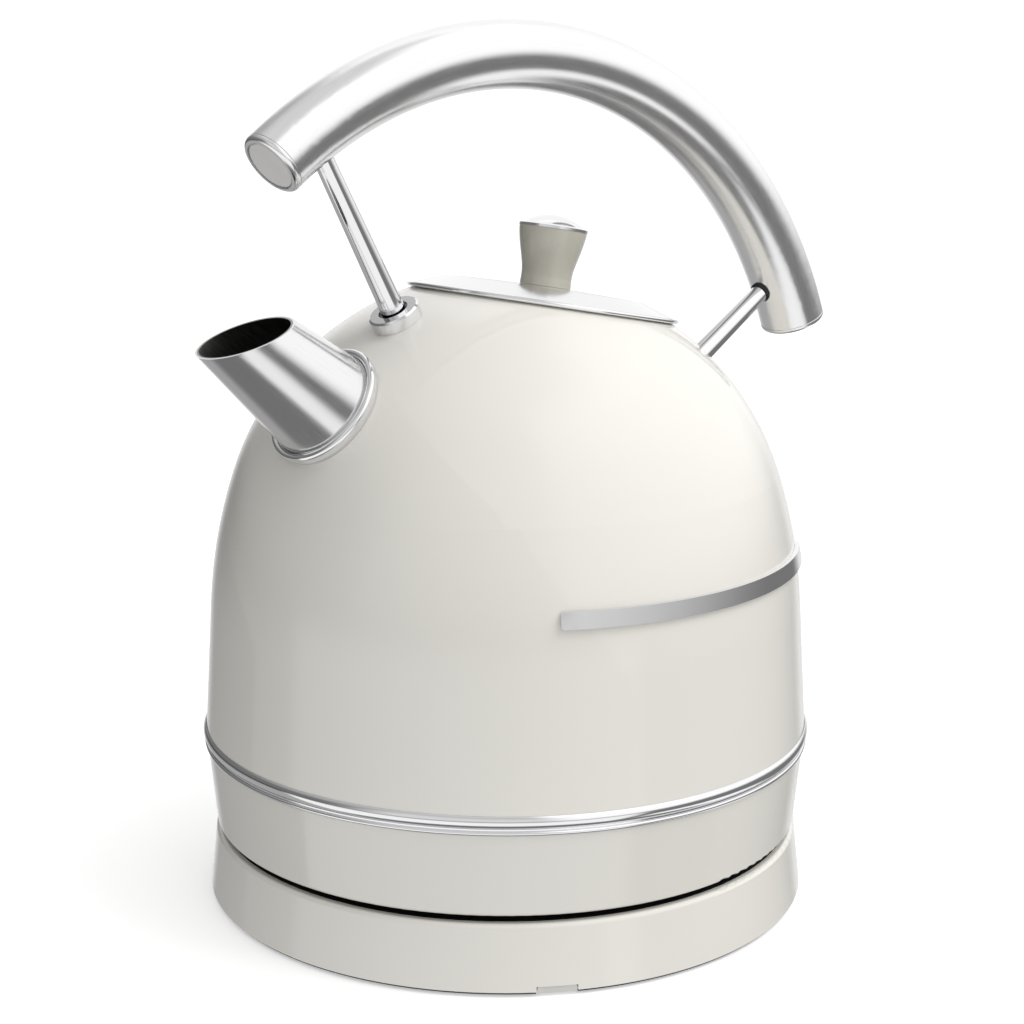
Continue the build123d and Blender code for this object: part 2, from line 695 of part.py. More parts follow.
with BuildPart() as filter_frame:
    with BuildSketch(lean_section(SPOUT_LEAN)):
        with BuildLine():
            Polyline(
                (FILTER_RADIUS - FILTER_RING, FILTER_BOTTOM),
                (FILTER_RADIUS + 2.4, FILTER_BOTTOM),
                (FILTER_RADIUS + 2.4, FILTER_BOTTOM + 1.5),
                (FILTER_RADIUS, FILTER_BOTTOM + 1.5),
                (FILTER_RADIUS, FILTER_BOTTOM + 4.5),
                (FILTER_RADIUS - FILTER_RING, FILTER_BOTTOM + 4.5),
                close=True,
            )
        make_face()
    revolve(axis=lean_axis(SPOUT_LEAN))
save(filter_frame.part, "filter_frame")

with BuildPart() as filter_mesh:
    with BuildSketch(lean_plane(SPOUT_LEAN, FILTER_BOTTOM)):
        Circle(FILTER_RADIUS - FILTER_RING)
        with GridLocations(MESH_PITCH, MESH_PITCH, 9, 9):
            Rectangle(MESH_PITCH * 0.6, MESH_PITCH * 0.6, mode=Mode.SUBTRACT)
    extrude(amount=0.5)
save(filter_mesh.part, "filter_mesh")

# ---------------------------------------------------------------- handle

front_end = Plane(origin=handle_section(HANDLE_FRONT).origin, z_dir=lean_direction(HANDLE_FRONT - 90))
rear_end = Plane(origin=handle_section(HANDLE_REAR).origin, z_dir=lean_direction(HANDLE_REAR + 90))
tube_outside = handle_solid(0)
tube_inside = handle_solid(-HANDLE_WALL)

with BuildPart() as handle_tube:
    add(tube_outside)
    add(tube_inside, mode=Mode.SUBTRACT)
    for lean in (FRONT_POST_LEAN, REAR_POST_LEAN):
        with BuildSketch(lean_plane(lean, handle_distance(lean) - 20)):
            Circle(POST_HEAD_RADIUS + HAIRLINE)
        extrude(amount=20, mode=Mode.SUBTRACT)
save(handle_tube.part, "handle_tube")

for label, end, radius, length, rounding in (
    ("handle_front_cap", front_end, HANDLE_FRONT_RADIUS, FRONT_CAP_LENGTH, 1.4),
    ("handle_rear_cap", rear_end, HANDLE_REAR_RADIUS, REAR_CAP_LENGTH, 0.9),
):
    with BuildPart() as handle_cap:
        with BuildSketch(end):
            Circle(radius)
        extrude(amount=length)
        rims = handle_cap.edges().filter_by(GeomType.CIRCLE)
        far_point = end.origin + end.z_dir * (length + 30)
        fillet(rims.sort_by_distance(far_point)[0], rounding)
        rims = handle_cap.edges().filter_by(GeomType.CIRCLE)
        fillet(rims.sort_by_distance(end.origin - end.z_dir * 30)[0], 0.3)
        # recess for the end disc
        with BuildSketch(end.offset(length)):
            Circle(radius - CAP_RIM)
        extrude(amount=-CAP_RECESS, mode=Mode.SUBTRACT)
        # spigot inside the tube
        with BuildSketch(end):
            Circle(radius - HANDLE_WALL - 0.3)
        extrude(amount=-5)
    save(handle_cap.part, label)

for label, end, radius, length in (
    ("handle_front_disc", front_end, HANDLE_FRONT_RADIUS, FRONT_CAP_LENGTH),
    ("handle_rear_disc", rear_end, HANDLE_REAR_RADIUS, REAR_CAP_LENGTH),
):
    with BuildPart() as end_disc:
        with BuildSketch(end.offset(length - CAP_RECESS)):
            Circle(radius - CAP_RIM - DISC_GAP)
        extrude(amount=CAP_RECESS - 0.2)
        far_point = end.origin + end.z_dir * (length + 30)
        fillet(end_disc.edges().filter_by(GeomType.CIRCLE).sort_by_distance(far_point)[0], 0.25)
    save(end_disc.part, label)

for label, lean in (("front_post", FRONT_POST_LEAN), ("rear_post", REAR_POST_LEAN)):
    with BuildPart() as handle_post:
        post_end = handle_distance(lean) - 3
        taper_end = handle_distance(lean) - handle_radius(lean) - 2
        with BuildSketch(lean_section(lean)):
            with BuildLine():
                Polyline(
                    (0, POST_FOOT),
                    (POST_FOOT_RADIUS - 0.5, POST_FOOT),
                    (POST_FOOT_RADIUS, POST_FOOT + 0.5),
                    (POST_FOOT_RADIUS, BOSS_TOP),
                    (POST_HEAD_RADIUS, taper_end),
                    (POST_HEAD_RADIUS, post_end),
                    (0, post_end),
                    close=True,
                )
            make_face()
        revolve(axis=lean_axis(lean))
    save(handle_post.part, label)

for label, lean in (("front_boss", FRONT_POST_LEAN), ("rear_boss", REAR_POST_LEAN)):
    with BuildPart() as boss:
        with BuildSketch(lean_section(lean)):
            with BuildLine():
                Polyline(
                    (BOSS_BORE, on_sphere(BOSS_BORE) + HAIRLINE),
                    (BOSS_RADIUS, on_sphere(BOSS_RADIUS) + HAIRLINE),
                    (BOSS_RADIUS, BOSS_TOP - 0.5),
                    (BOSS_RADIUS - 0.5, BOSS_TOP),
                    (BOSS_BORE, BOSS_TOP),
                    close=True,
                )
            make_face()
        revolve(axis=lean_axis(lean))
    save(boss.part, label)

tube_clearance = handle_solid(HAIRLINE)

with BuildPart() as rear_gasket:
    gasket_end = handle_distance(REAR_POST_LEAN) - handle_radius(REAR_POST_LEAN) - GASKET_HEIGHT
    with BuildSketch(lean_plane(REAR_POST_LEAN, gasket_end)):
        Circle(POST_HEAD_RADIUS + GASKET_MARGIN)
        Circle(POST_HEAD_RADIUS + 3 * HAIRLINE, mode=Mode.SUBTRACT)
    extrude(amount=GASKET_HEIGHT + 2)
    add(tube_clearance, mode=Mode.SUBTRACT)
save(rear_gasket.part, "rear_gasket")

with BuildPart() as post_washers:
    for lean in (FRONT_POST_LEAN, REAR_POST_LEAN):
        with BuildSketch(lean_plane(lean, WASHER_TOP)):
            Circle(WASHER_RADIUS)
            Circle(POST_FOOT_RADIUS + HAIRLINE, mode=Mode.SUBTRACT)
        extrude(amount=-WASHER_THICKNESS)
save(post_washers.part, "post_washers")

with BuildPart() as post_nuts:
    for lean in (FRONT_POST_LEAN, REAR_POST_LEAN):
        with BuildSketch(lean_plane(lean, WASHER_TOP - WASHER_THICKNESS)):
            RegularPolygon(NUT_RADIUS, 6)
            Circle(POST_FOOT_RADIUS + HAIRLINE, mode=Mode.SUBTRACT)
        extrude(amount=-NUT_HEIGHT)
save(post_nuts.part, "post_nuts")

# ---------------------------------------------------------------- badge bar

with BuildPart() as badge_bar:
    start = Plane.XZ.rotated((0, 0, BADGE_START))
    low, high = BADGE_HEIGHTS
    with BuildSketch(start):
        with BuildLine():
            Polyline(
                (skin_radius(low) + HAIRLINE, low),
                (skin_radius(high) + HAIRLINE, high),
                (skin_radius(high) + BADGE_THICKNESS, high),
                (skin_radius(low) + BADGE_THICKNESS, low),
                close=True,
            )
        make_face()
    revolve(axis=Axis.Z, revolution_arc=BADGE_SPAN)
    fillet(badge_bar.edges().filter_by(GeomType.LINE).sort_by(SortBy.LENGTH)[:4], 1.0)
save(badge_bar.part, "badge_bar")

# ---------------------------------------------------------------- switch and lamp

skirt_face_x = SKIRT_BOTTOM_RADIUS + 1.4

with BuildPart() as switch_bezel:
    with BuildSketch(slot_plane.offset(skirt_face_x - slot_plane.origin.X - 6)):
        RectangleRounded(SLOT_WIDTH + 2 * BEZEL_WALL, SLOT_HEIGHT + 2 * BEZEL_WALL, 3.8)
        RectangleRounded(SLOT_WIDTH, SLOT_HEIGHT, 2.4, mode=Mode.SUBTRACT)
    extrude(amount=6.6)
    # cheeks that carry the hinge pin
    for side in (-1, 1):
        cheek_middle = SWITCH_PIVOT + Vector(0, side * (SLOT_WIDTH + BEZEL_WALL) / 2, 0)
        with BuildSketch(Plane(origin=cheek_middle, x_dir=(1, 0, 0), z_dir=(0, 1, 0))):
            with Locations((2.5, 0)):
                Rectangle(13, 9)
            Circle(HINGE_PIN_RADIUS, mode=Mode.SUBTRACT)
        extrude(amount=BEZEL_WALL / 2, both=True)
save(switch_bezel.part, "switch_bezel")

with BuildPart() as switch_pin:
    with BuildSketch(Plane(origin=SWITCH_PIVOT, x_dir=(1, 0, 0), z_dir=(0, 1, 0))):
        Circle(HINGE_PIN_RADIUS)
    extrude(amount=SLOT_WIDTH / 2 + BEZEL_WALL, both=True)
save(switch_pin.part, "switch_pin")

with BuildPart() as switch_lever:
    lever_plane = Plane(
        origin=SWITCH_PIVOT,
        x_dir=(cos(radians(SWITCH_LEAN)), 0, sin(radians(SWITCH_LEAN))),
        z_dir=(0, -1, 0),
    )
    with BuildSketch(lever_plane):
        Circle(3.2)
        with BuildLine():
            blade = Line((0, 1.6), (17, 1.3))
            nose = ThreePointArc(blade @ 1, (19.2, -0.2), (17, -1.7))
            back = Line(nose @ 1, (0, -1.6))
            Line(back @ 1, blade @ 0)
        make_face()
        Circle(HINGE_PIN_RADIUS + 0.05, mode=Mode.SUBTRACT)
    extrude(amount=SWITCH_WIDTH / 2, both=True)
save(switch_lever.part, "switch_lever")

with BuildPart() as lamp_lens:
    with BuildSketch(slot_plane.offset(4)):
        with Locations((LAMP_OFFSET, 0)):
            Circle(LAMP_RADIUS)
    extrude(amount=skirt_face_x - slot_plane.origin.X - 4 - 2.0)
    front = lamp_lens.faces().sort_by(Axis.X)[-1]
    fillet(front.edges(), 0.6)
save(lamp_lens.part, "lamp_lens")

# ---------------------------------------------------------------- lid

bead_centre = (LID_RIM_RADIUS, sqrt((SPHERE_RADIUS + 0.35 + LID_BEAD_RADIUS) ** 2 - LID_RIM_RADIUS**2))

with BuildPart() as lid_rim:
    with BuildSketch(lean_section(LID_LEAN)):
        with Locations(bead_centre):
            Circle(LID_BEAD_RADIUS)
    revolve(axis=lean_axis(LID_LEAN))
save(lid_rim.part, "lid_rim")

with BuildPart() as lid_shell:
    edge_radius = LID_RIM_RADIUS - LID_BEAD_RADIUS - HAIRLINE
    edge_height = bead_centre[1] + 0.5
    with BuildSketch(lean_section(LID_LEAN)):
        with BuildLine():
            cone = Line((edge_radius, edge_height), (LID_TOP_RADIUS, LID_SHOULDER))
            crown = ThreePointArc(
                cone @ 1, (LID_TOP_RADIUS / 2, LID_CROWN - 0.18), (SCREW_HOLE, LID_CROWN)
            )
            hole = Line(crown @ 1, (SCREW_HOLE, LID_CROWN - LID_WALL))
            under = ThreePointArc(
                hole @ 1,
                (LID_TOP_RADIUS / 2, LID_CROWN - 0.18 - LID_WALL),
                (LID_TOP_RADIUS - 0.2, LID_SHOULDER - LID_WALL),
            )
            under_cone = Line(under @ 1, (edge_radius, edge_height - LID_WALL))
            Line(under_cone @ 1, cone @ 0)
        make_face()
    revolve(axis=lean_axis(LID_LEAN))
save(lid_shell.part, "lid_shell")

with BuildPart() as lid_plug:
    # cup-shaped plug under the lid, with a groove for the seal
    with BuildSketch(lean_section(LID_LEAN)):
        with BuildLine():
            Polyline(
                (SCREW_HOLE, PLUG_BOTTOM),
                (PLUG_RADIUS, PLUG_BOTTOM),
                (PLUG_RADIUS, SEAL_BAND[0]),
                (PLUG_RADIUS - 1.0, SEAL_BAND[0]),
                (PLUG_RADIUS - 1.0, SEAL_BAND[1]),
                (PLUG_RADIUS, SEAL_BAND[1]),
                (PLUG_RADIUS, PLUG_TOP),
                (PLUG_RADIUS - 2.2, PLUG_TOP),
                (PLUG_RADIUS - 2.2, PLUG_BOTTOM + 1.4),
                (5.0, PLUG_BOTTOM + 1.4),
                (5.0, LID_CROWN - LID_WALL - HAIRLINE),
                (SCREW_HOLE, LID_CROWN - LID_WALL - HAIRLINE),
                close=True,
            )
        make_face()
    revolve(axis=lean_axis(LID_LEAN))
save(lid_plug.part, "lid_plug")

with BuildPart() as lid_seal:
    with BuildSketch(lean_section(LID_LEAN)):
        with BuildLine():
            Polyline(
                (PLUG_RADIUS - 1.0, SEAL_BAND[0]),
                (PLUG_RADIUS + 0.1, SEAL_BAND[0] + 0.2),
                (OPENING_RADIUS - 0.35, (SEAL_BAND[0] + SEAL_BAND[1]) / 2),
                (PLUG_RADIUS + 0.1, SEAL_BAND[1] - 0.2),
                (PLUG_RADIUS - 1.0, SEAL_BAND[1]),
                close=True,
            )
        make_face()
    revolve(axis=lean_axis(LID_LEAN))
save(lid_seal.part, "lid_seal")

with BuildPart() as lid_knob:
    with BuildSketch(lean_section(LID_LEAN)):
        with BuildLine():
            foot = Line((SCREW_RADIUS, LID_CROWN), (KNOB_FOOT_RADIUS, LID_CROWN))
            stem = Line(foot @ 1, (KNOB_FOOT_RADIUS - 0.1, LID_CROWN + 2.5))
            flare = Spline(
                stem @ 1,
                (KNOB_FOOT_RADIUS + 0.9, (LID_CROWN + KNOB_TOP) / 2 + 0.5),
                (KNOB_TOP_RADIUS, KNOB_TOP - 0.6),
                tangents=((0, 1), (0.12, 1)),
            )
            top = Line(flare @ 1, (KNOB_TOP_RADIUS, KNOB_TOP))
            lid_side = Line(top @ 1, (SCREW_RADIUS, KNOB_TOP))
            Line(lid_side @ 1, foot @ 0)
        make_face()
    revolve(axis=lean_axis(LID_LEAN))
save(lid_knob.part, "lid_knob")

with BuildPart() as knob_cap:
    crown_edge = (KNOB_TOP_RADIUS - 0.9, KNOB_TOP + 1.1)
    crown_rise = CAP_RISE - 1.1
    crown_radius = (crown_edge[0] ** 2 + crown_rise**2) / (2 * crown_rise)
    crown_half_angle = degrees(asin(crown_edge[0] / crown_radius))
    with BuildSketch(lean_section(LID_LEAN)):
        with BuildLine():
            Polyline(
                (0, KNOB_TOP + CAP_RISE),
                (0, KNOB_TOP),
                (KNOB_TOP_RADIUS + 0.2, KNOB_TOP),
                (KNOB_TOP_RADIUS + 0.2, KNOB_TOP + 0.7),
                crown_edge,
            )
            crown_centre = (0, KNOB_TOP + CAP_RISE - crown_radius)
            CenterArc(crown_centre, crown_radius, 90 - crown_half_angle, crown_half_angle)
        make_face()
    revolve(axis=lean_axis(LID_LEAN))
save(knob_cap.part, "knob_cap")

with BuildPart() as knob_screw:
    with BuildSketch(lean_plane(LID_LEAN, PLUG_BOTTOM)):
        Circle(4.2)
        Rectangle(0.9, 5.0, mode=Mode.SUBTRACT)
        Rectangle(5.0, 0.9, mode=Mode.SUBTRACT)
    extrude(amount=-2.4)
    with BuildSketch(lean_plane(LID_LEAN, PLUG_BOTTOM)):
        Circle(SCREW_RADIUS)
    extrude(amount=KNOB_TOP - 4 - PLUG_BOTTOM)
save(knob_screw.part, "knob_screw")
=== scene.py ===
import json
import math

import bmesh
import bpy
from mathutils import Matrix, Vector


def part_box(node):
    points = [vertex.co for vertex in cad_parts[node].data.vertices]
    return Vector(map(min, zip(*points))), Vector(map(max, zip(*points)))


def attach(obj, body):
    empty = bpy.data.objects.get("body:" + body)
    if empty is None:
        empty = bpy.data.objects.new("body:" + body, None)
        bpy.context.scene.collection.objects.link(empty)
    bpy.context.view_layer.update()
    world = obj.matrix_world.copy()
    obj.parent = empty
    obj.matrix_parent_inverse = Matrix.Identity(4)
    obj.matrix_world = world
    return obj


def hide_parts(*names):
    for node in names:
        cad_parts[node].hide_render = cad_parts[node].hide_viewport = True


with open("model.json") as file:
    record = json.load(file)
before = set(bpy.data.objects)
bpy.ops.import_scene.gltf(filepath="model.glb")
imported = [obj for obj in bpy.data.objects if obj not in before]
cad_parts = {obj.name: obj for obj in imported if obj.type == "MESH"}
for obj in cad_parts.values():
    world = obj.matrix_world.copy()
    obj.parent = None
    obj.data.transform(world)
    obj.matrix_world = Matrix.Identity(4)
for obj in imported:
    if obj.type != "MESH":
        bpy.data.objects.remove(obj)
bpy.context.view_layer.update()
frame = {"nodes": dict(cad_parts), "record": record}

MM = 0.001

# camera: place seen from the axis of the base, and lens
CAMERA_AZIMUTH = math.radians(-131.5)
CAMERA_DISTANCE = 590 * MM
CAMERA_HEIGHT = 244 * MM
CAMERA_PITCH = math.radians(13.08)
CAMERA_TURN = math.radians(0.17)
CAMERA_ROLL = math.radians(0.08)
CAMERA_LENS = 75.7

# surroundings
FLOOR_RADIUS = 4.0
FLOOR_GLOW = 0.42
BACKDROP_WHITE = 1.1
DARKEST = 0.04

# key light
KEY_BEARING = math.radians(75)
KEY_REACH = 1.0
KEY_HEIGHT = 1.35
KEY_SIZE = 0.9
KEY_POWER = 7.8
KEY_TARGET = Vector((0, 0, 0.1))

# axes of the CAD model that the finishes follow
DOME_CENTRE = Vector((0, 0, 94.5)) * MM
SPOUT_LEAN = math.radians(-51.4)
SPOUT_FOOT_DISTANCE = 81.5 * MM
SPOUT_FOOT_RADIUS = 14.9 * MM
SPOUT_TAPER = 0.119
SPOUT_WALL = 0.9 * MM
HANDLE_CENTRE = Vector((-0.2, 0, 104.9)) * MM
GRAIN_STRETCH = 0.012

# woven wire of the spout filter
WIRE_RADIUS = 0.13 * MM
WIRE_PITCH = 0.8 * MM


# ------------------------------------------------------------------ camera and surroundings


def make_camera():
    """Camera on the side of the badge bar and the spout, a little above the lid, looking slightly down."""
    data = bpy.data.cameras.new("camera")
    data.sensor_width = 36
    data.lens = CAMERA_LENS
    data.clip_start = 0.01
    data.clip_end = 50
    camera = bpy.data.objects.new("camera", data)
    bpy.context.scene.collection.objects.link(camera)
    outward = Vector((math.cos(CAMERA_AZIMUTH), math.sin(CAMERA_AZIMUTH), 0))
    camera.location = outward * CAMERA_DISTANCE + Vector((0, 0, CAMERA_HEIGHT))
    heading = CAMERA_AZIMUTH + math.pi - CAMERA_TURN
    turn = Matrix.Rotation(heading - math.pi / 2, 3, "Z")
    tilt = Matrix.Rotation(math.pi / 2 - CAMERA_PITCH, 3, "X")
    roll = Matrix.Rotation(CAMERA_ROLL, 3, "Z")
    camera.rotation_euler = (turn @ tilt @ roll).to_euler()
    bpy.context.scene.camera = camera


def link_mesh(name, mesh):
    thing = bpy.data.objects.new(name, mesh)
    bpy.context.scene.collection.objects.link(thing)
    return thing


def make_floor():
    """Large pale floor that only the camera sees; the world lights the kettle from below."""
    mesh = bpy.data.meshes.new("floor")
    shape = bmesh.new()
    bmesh.ops.create_circle(shape, cap_ends=True, segments=96, radius=FLOOR_RADIUS)
    shape.to_mesh(mesh)
    shape.free()
    floor = link_mesh("floor", mesh)
    floor.location.z = -0.0001
    floor.data.materials.append(shader(
        "floor_white", None, Base_Color=(0.86, 0.86, 0.86, 1), Roughness=0.9, Specular_IOR_Level=0.0,
        Emission_Color=(1, 1, 1, 1), Emission_Strength=FLOOR_GLOW))
    floor.visible_glossy = False
    floor.visible_diffuse = False


class Nodes:
    """Short way to write a node tree."""

    def __init__(self, tree):
        self.tree = tree
        tree.nodes.clear()

    def add(self, kind, inputs=(), **settings):
        node = self.tree.nodes.new(kind)
        for key, value in settings.items():
            setattr(node, key, value)
        for key, value in dict(inputs).items():
            self.put(node.inputs[key], value)
        return node

    def put(self, socket, value):
        if isinstance(value, bpy.types.NodeSocket):
            self.tree.links.new(value, socket)
        else:
            socket.default_value = value

    def math(self, operation, a, b=0.0):
        return self.add("ShaderNodeMath", {0: a, 1: b}, operation=operation).outputs[0]

    def vector(self, operation, a, b=(0, 0, 0)):
        node = self.add("ShaderNodeVectorMath", {0: a, 1: b}, operation=operation)
        return node.outputs["Value" if operation in ("LENGTH", "DOT_PRODUCT") else "Vector"]

    def span(self, value, low, high, to_low=0.0, to_high=1.0, smooth=True):
        """Value mapped from low..high to to_low..to_high, clamped."""
        kind = "SMOOTHSTEP" if smooth else "LINEAR"
        node = self.add("ShaderNodeMapRange", {0: value, 1: low, 2: high, 3: to_low, 4: to_high})
        node.interpolation_type = kind
        return node.outputs[0]

    def mix(self, factor, a, b):
        node = self.add("ShaderNodeMix", data_type="RGBA")
        for socket, value in ((node.inputs[0], factor), (node.inputs[6], a), (node.inputs[7], b)):
            self.put(socket, value)
        return node.outputs[2]

    def noise(self, vector, scale, detail=2.0):
        values = {"Vector": vector, "Scale": scale, "Detail": detail, "Roughness": 0.5}
        return self.add("ShaderNodeTexNoise", values).outputs["Fac"]

    def place(self):
        """The point on the object, in the model's own frame, in metres."""
        return self.add("ShaderNodeTexCoord").outputs["Object"]


def make_world():
    """White studio: bright behind, to the right and overhead, dimmer to the left, over a dark ground with a
    bright table in front and a light strip to the right. The camera sees plain white."""
    world = bpy.data.worlds.new("studio")
    bpy.context.scene.world = world
    world.use_nodes = True
    n = Nodes(world.node_tree)
    direction = n.add("ShaderNodeTexCoord").outputs["Generated"]
    turned = n.add("ShaderNodeVectorRotate", {"Vector": direction, "Angle": -CAMERA_AZIMUTH})
    axes = n.add("ShaderNodeSeparateXYZ", {0: turned.outputs[0]}).outputs
    bearing = n.math("MULTIPLY", n.math("ARCTAN2", axes["Y"], axes["X"]), 180 / math.pi)
    height = n.math("MULTIPLY", n.math("ARCSINE", axes["Z"]), 180 / math.pi)

    def patch(bearing_low, bearing_high, height_low, height_high, soft, level):
        """Soft-edged rectangle of light, in degrees right of the camera and above the horizon."""
        left = n.span(bearing, bearing_low - soft, bearing_low + soft)
        right = n.span(bearing, bearing_high + soft, bearing_high - soft)
        low = n.span(height, height_low - soft, height_low + soft)
        high = n.span(height, height_high + soft, height_high - soft)
        area = n.math("MULTIPLY", n.math("MULTIPLY", left, right), n.math("MULTIPLY", low, high))
        return n.math("MULTIPLY", area, level)

    sky = n.span(height, -6, 4, 0.20, 0.42)
    ceiling = n.span(height, 35, 75, 0.0, 0.30)
    right_wall = patch(20, 150, 3, 70, 10, 0.75)
    behind_right = patch(150, 210, -32, 60, 8, 0.64)
    behind_left = patch(-210, -158, -32, 60, 8, 0.64)
    table = patch(-85, 50, -50, -5, 5, 0.85)
    strip = patch(62, 150, -50, -36, 4, 0.9)
    left_ground = patch(-160, -85, -60, -10, 8, 0.22)
    front = patch(-50, 20, 5, 45, 12, 0.35)
    left_shade = patch(-150, -60, -8, 30, 12, -0.24)
    level = n.math("ADD", sky, ceiling)
    for light in (right_wall, behind_right, behind_left, table, strip, left_ground, front, left_shade):
        level = n.math("ADD", level, light)
    level = n.math("MAXIMUM", level, DARKEST)
    seen = n.add("ShaderNodeLightPath").outputs["Is Camera Ray"]
    grey = n.add("ShaderNodeCombineXYZ", {0: level, 1: level, 2: level}).outputs[0]
    colour = n.mix(seen, grey, (BACKDROP_WHITE,) * 3 + (1,))
    background = n.add("ShaderNodeBackground", {"Color": colour, "Strength": 1.0})
    n.add("ShaderNodeOutputWorld", {"Surface": background.outputs[0]})


def make_lights():
    """Soft key from the right and above."""
    data = bpy.data.lights.new("key", "AREA")
    data.shape = "RECTANGLE"
    data.size = KEY_SIZE
    data.size_y = KEY_SIZE
    data.energy = KEY_POWER
    key = bpy.data.objects.new("key", data)
    bearing = CAMERA_AZIMUTH + KEY_BEARING
    key.location = Vector((math.cos(bearing) * KEY_REACH, math.sin(bearing) * KEY_REACH, KEY_HEIGHT))
    key.rotation_euler = (KEY_TARGET - key.location).to_track_quat("-Z", "Y").to_euler()
    key.visible_camera = False
    key.visible_glossy = False
    bpy.context.scene.collection.objects.link(key)


# ------------------------------------------------------------------ materials


def shader(name, build, **values):
    """Material with one Principled shader; build(n) returns the sockets that follow the surface."""
    material = bpy.data.materials.new(name)
    material.use_nodes = True
    n = Nodes(material.node_tree)
    uniform = {key.replace("_", " "): value for key, value in values.items()}
    surface = n.add("ShaderNodeBsdfPrincipled", uniform)
    for key, value in (build(n) if build else {}).items():
        n.put(surface.inputs[key.replace("_", " ")], value)
    n.add("ShaderNodeOutputMaterial", {"Surface": surface.outputs[0]})
    return material


def bump(n, height, strength, distance):
    return n.add("ShaderNodeBump", {"Height": height, "Strength": strength, "Distance": distance}).outputs[0]


def make_enamel():
    """Glossy cream enamel: slightly uneven tint under a clear coat with a faint orange peel."""

    def build(n):
        place = n.place()
        tint = n.noise(place, 14, 3)
        peel = n.noise(place, 420, 1)
        return {
            "Base_Color": n.mix(tint, (0.83, 0.805, 0.745, 1), (0.86, 0.835, 0.78, 1)),
            "Roughness": n.span(n.noise(place, 40), 0.3, 0.7, 0.38, 0.48, smooth=False),
            "Coat_Normal": bump(n, peel, 0.12, 0.00005),
        }

    return shader("cream_enamel", build, Coat_Weight=1.0, Coat_Roughness=0.07, Coat_IOR=1.5)


def make_polished():
    """Mirror-polished steel with faint polishing haze."""

    def build(n):
        place = n.place()
        haze = n.noise(place, 55, 3)
        fine = n.noise(place, 1500, 1)
        return {
            "Roughness": n.span(haze, 0.3, 0.7, 0.06, 0.11, smooth=False),
            "Normal": bump(n, fine, 0.03, 0.00002),
        }

    return shader("polished_steel", build, Base_Color=(0.84, 0.84, 0.85, 1), Metallic=1.0)


def arc_coordinates(n):
    """Position on the handle: along its arc, and twice across it, so that grain runs along the tube."""
    offset = n.vector("SUBTRACT", n.place(), tuple(HANDLE_CENTRE))
    axes = n.add("ShaderNodeSeparateXYZ", {0: offset}).outputs
    along = n.math("ARCTAN2", axes["X"], axes["Z"])
    reach = n.math("SQRT", n.math("ADD", n.math("POWER", axes["X"], 2.0), n.math("POWER", axes["Z"], 2.0)))
    stretched = n.math("MULTIPLY", along, GRAIN_STRETCH)
    return n.add("ShaderNodeCombineXYZ", {0: stretched, 1: axes["Y"], 2: reach}).outputs[0]


def make_handle_steel():
    """Satin steel, ground lengthwise along the handle's arc."""

    def build(n):
        grain = arc_coordinates(n)
        streaks = n.noise(grain, 1400, 3)
        return {
            "Base_Color": n.mix(streaks, (0.82, 0.82, 0.82, 1), (0.90, 0.90, 0.90, 1)),
            "Roughness": n.span(streaks, 0.3, 0.7, 0.19, 0.25, smooth=False),
            "Normal": bump(n, streaks, 0.05, 0.00002),
        }

    return shader("satin_steel", build, Metallic=1.0)


def make_spout_steel():
    """Brushed steel of the spout: streaks along the cone outside; inside, the steel colour is darkened with
    painted shade and the roughness is raised.
    """
    axis = Vector((math.sin(SPOUT_LEAN), 0, math.cos(SPOUT_LEAN)))

    def build(n):
        offset = n.vector("SUBTRACT", n.place(), tuple(DOME_CENTRE))
        along = n.vector("DOT_PRODUCT", offset, tuple(axis))
        radius = n.vector("LENGTH", n.vector("CROSS_PRODUCT", offset, tuple(axis)))
        upright = n.add(
            "ShaderNodeVectorRotate", {"Vector": offset, "Angle": -SPOUT_LEAN}, rotation_type="Y_AXIS")
        axes = n.add("ShaderNodeSeparateXYZ", {0: upright.outputs[0]}).outputs
        turn = n.math("ARCTAN2", axes["Y"], axes["X"])
        grain = n.add("ShaderNodeCombineXYZ", {0: turn, 1: n.math("MULTIPLY", along, 3.0)}).outputs[0]
        streaks = n.noise(grain, 40, 3)
        skin_at_centre = SPOUT_FOOT_RADIUS + SPOUT_TAPER * SPOUT_FOOT_DISTANCE - SPOUT_WALL / 2
        skin = n.math("SUBTRACT", skin_at_centre, n.math("MULTIPLY", along, SPOUT_TAPER))
        inside = n.math("LESS_THAN", radius, skin)
        # painted shade: inside the spout the steel colour is darkened to near black, standing in for the
        # shade of the interior; only the raised roughness is a real finish
        painted_shade_inside = n.mix(streaks, (0.10, 0.10, 0.095, 1), (0.52, 0.52, 0.50, 1))
        bright = n.mix(streaks, (0.74, 0.74, 0.74, 1), (0.84, 0.84, 0.84, 1))
        outside_rough = n.span(streaks, 0.3, 0.7, 0.13, 0.20, smooth=False)
        return {
            "Base_Color": n.mix(inside, bright, painted_shade_inside),
            "Roughness": n.math("ADD", outside_rough, n.math("MULTIPLY", inside, 0.15)),
            "Normal": bump(n, streaks, 0.05, 0.00003),
        }

    return shader("spout_steel", build, Metallic=1.0)


def make_knob_plastic():
    """Satin greige plastic."""

    def build(n):
        place = n.place()
        return {
            "Base_Color": n.mix(n.noise(place, 60), (0.53, 0.51, 0.435, 1), (0.56, 0.54, 0.46, 1)),
            "Roughness": n.span(n.noise(place, 120, 2), 0.3, 0.7, 0.26, 0.32, smooth=False),
        }

    return shader("greige_plastic", build, Coat_Weight=0.7, Coat_Roughness=0.08)


def make_moulded(name, dark, light, roughness, grain):
    """Moulded plastic or rubber with a fine grain."""

    def build(n):
        place = n.place()
        fine = n.noise(place, grain, 2)
        return {
            "Base_Color": n.mix(n.noise(place, 80, 2), (*dark, 1), (*light, 1)),
            "Roughness": n.span(fine, 0.3, 0.7, *roughness, smooth=False),
            "Normal": bump(n, fine, 0.25, 0.00005),
        }

    return shader(name, build)


